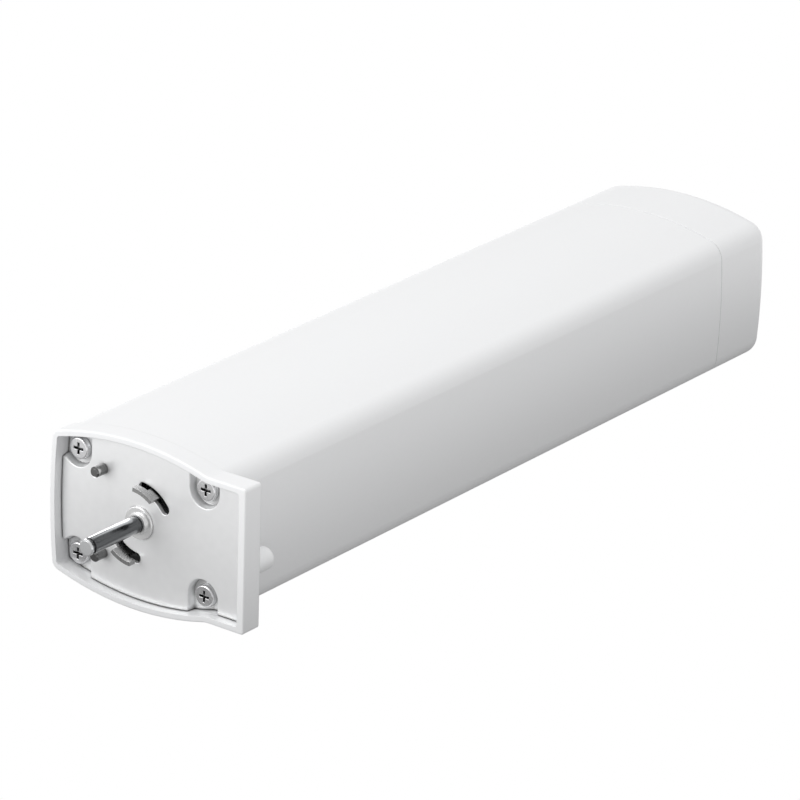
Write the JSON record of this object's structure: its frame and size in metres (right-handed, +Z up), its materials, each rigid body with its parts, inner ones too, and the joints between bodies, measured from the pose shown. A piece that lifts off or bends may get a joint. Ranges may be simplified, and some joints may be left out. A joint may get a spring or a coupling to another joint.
{
  "type": "curtain motor",
  "caption": "Curtain rail motor: long white arched casing, steel mounting plate with arc slots and locking hooks, round output shaft, locating pins, thumb knob and a rear cap with inlet and set button.",
  "frame": {"origin": "the centre of the output shaft, in the plane of the mounting plate's outer face", "axes": "+X right as seen from the shaft end, towards the flange's reach; +Y back along the barrel; +Z up, with the barrel lying as in the picture; the shaft points along -Y"},
  "size_m": [0.0723, 0.3045, 0.0524],
  "materials": {
    "white_plastic": "moulded, lightly polished",
    "pressed_steel": "nickel-plated sheet, satin",
    "screw_steel": "nickel-plated",
    "ground_steel": "ground and polished",
    "hook_steel": "pressed sheet, dull",
    "gear_steel": "sintered, oiled",
    "spring_steel": "drawn spring wire or strip",
    "bush_bronze": "sintered bronze",
    "bush_steel": "turned, satin",
    "case_plastic": "glass-filled moulding",
    "can_steel": "zinc-plated drawn steel",
    "core_steel": "stacked laminations",
    "ferrite": "sintered ferrite",
    "copper": "enamelled wire",
    "carbon": "pressed carbon",
    "rubber": "moulded rubber",
    "board_green": "printed circuit laminate",
    "black_plastic": "moulded",
    "capacitor_sleeve": "shrunk sleeve on an aluminium can",
    "heat_sink_metal": "extruded",
    "connector_plastic": "moulded",
    "terminal_plastic": "moulded",
    "wire_sleeve": "extruded sleeve",
    "clear_plastic": "clear moulding",
    "contact_metal": "nickel-plated pins",
    "lamination_yellow": "taped winding on a laminated core"
  },
  "bodies": {
    "casing": {"housing": "white_plastic", "end_cap": "white_plastic", "mounting_plate": "pressed_steel", "plate_screws": "screw_steel", "locating_pins": "screw_steel", "shaft_bush": "bush_steel", "detent_spring": "spring_steel", "front_pad": "rubber", "gearbox_screws": "screw_steel", "gearbox_case": "case_plastic", "output_bearing": "bush_bronze", "adaptor_plate": "can_steel", "case_screws": "screw_steel", "motor_can": "can_steel", "motor_screws": "screw_steel", "magnets": "ferrite", "brushes": "carbon", "motor_bearings": "bush_bronze", "rear_shield": "black_plastic", "rear_pad": "rubber", "sensor_board": "board_green", "main_board": "board_green", "board_screws": "screw_steel", "transformer": "lamination_yellow", "bulk_capacitor": "capacitor_sleeve", "heat_sink": "heat_sink_metal", "power_chips": "black_plastic", "radio_module": "contact_metal", "terminal_block": "terminal_plastic", "motor_plug": "connector_plastic", "power_leads": "wire_sleeve", "signal_leads": "wire_sleeve", "power_inlet": "black_plastic", "inlet_pins": "contact_metal", "cap_screws": "screw_steel", "button_board": "board_green", "tact_switch": "black_plastic", "button_spring": "spring_steel", "light_pipe": "clear_plastic"},
    "latch": {"lock_ring": "hook_steel", "thumb_knob": "white_plastic"},
    "output": {"output_shaft": "ground_steel", "output_carrier": "gear_steel", "output_pins": "ground_steel"},
    "output_planet_1": {"output_planet_1": "gear_steel"},
    "output_planet_2": {"output_planet_2": "gear_steel"},
    "output_planet_3": {"output_planet_3": "gear_steel"},
    "first_stage": {"first_carrier": "gear_steel", "first_pins": "ground_steel"},
    "first_planet_1": {"first_planet_1": "gear_steel"},
    "first_planet_2": {"first_planet_2": "gear_steel"},
    "first_planet_3": {"first_planet_3": "gear_steel"},
    "rotor": {"rotor_shaft": "ground_steel", "motor_pinion": "gear_steel", "armature_core": "core_steel", "armature_windings": "copper", "commutator": "copper", "encoder_magnet": "ferrite"},
    "button": {"set_button": "white_plastic", "switch_plunger": "connector_plastic"}
  },
  "joints": [
    {"name": "first_carrier_turn", "type": "hinge", "parent": "casing", "child": "first_stage", "pos_m": [0, 0.0294, 0], "axis": [0, -1, 0], "continuous": true},
    {"name": "rotor_turn", "type": "hinge", "parent": "casing", "child": "rotor", "pos_m": [0, 0.065, 0], "axis": [0, -1, 0], "continuous": true},
    {"name": "output_turn", "type": "hinge", "parent": "casing", "child": "output", "pos_m": [0, 0, 0], "axis": [0, -1, 0], "continuous": true},
    {"name": "first_planet_1_turn", "type": "hinge", "parent": "first_stage", "child": "first_planet_1", "pos_m": [0, 0.0343, 0.0108], "axis": [0, -1, 0], "continuous": true},
    {"name": "first_planet_2_turn", "type": "hinge", "parent": "first_stage", "child": "first_planet_2", "pos_m": [-0.00935, 0.0343, -0.0054], "axis": [0, -1, 0], "continuous": true},
    {"name": "first_planet_3_turn", "type": "hinge", "parent": "first_stage", "child": "first_planet_3", "pos_m": [0.00935, 0.0343, -0.0054], "axis": [0, -1, 0], "continuous": true},
    {"name": "output_planet_1_turn", "type": "hinge", "parent": "output", "child": "output_planet_1", "pos_m": [0, 0.024, 0.0108], "axis": [0, -1, 0], "continuous": true},
    {"name": "output_planet_2_turn", "type": "hinge", "parent": "output", "child": "output_planet_2", "pos_m": [-0.00935, 0.024, -0.0054], "axis": [0, -1, 0], "continuous": true},
    {"name": "output_planet_3_turn", "type": "hinge", "parent": "output", "child": "output_planet_3", "pos_m": [0.00935, 0.024, -0.0054], "axis": [0, -1, 0], "continuous": true},
    {"name": "lock_turn", "type": "hinge", "parent": "casing", "child": "latch", "pos_m": [0, 0.006, 0], "axis": [0, -1, 0], "range_deg": [0, 16]},
    {"name": "button_push", "type": "slide", "parent": "casing", "child": "button", "axis": [0, -1, 0], "range_m": [0, 0.0005], "stiffness_N_per_m": 500, "deforming": ["button_spring"]}
  ],
  "couplings": [
    {"joint": "rotor_turn", "follows": "first_carrier_turn", "ratio": 4.8},
    {"joint": "output_turn", "follows": "first_carrier_turn", "ratio": 0.20833},
    {"joint": "first_planet_1_turn", "follows": "first_carrier_turn", "ratio": -2.7143},
    {"joint": "first_planet_2_turn", "follows": "first_carrier_turn", "ratio": -2.7143},
    {"joint": "first_planet_3_turn", "follows": "first_carrier_turn", "ratio": -2.7143},
    {"joint": "output_planet_1_turn", "follows": "first_carrier_turn", "ratio": -0.56548},
    {"joint": "output_planet_2_turn", "follows": "first_carrier_turn", "ratio": -0.56548},
    {"joint": "output_planet_3_turn", "follows": "first_carrier_turn", "ratio": -0.56548}
  ]
}
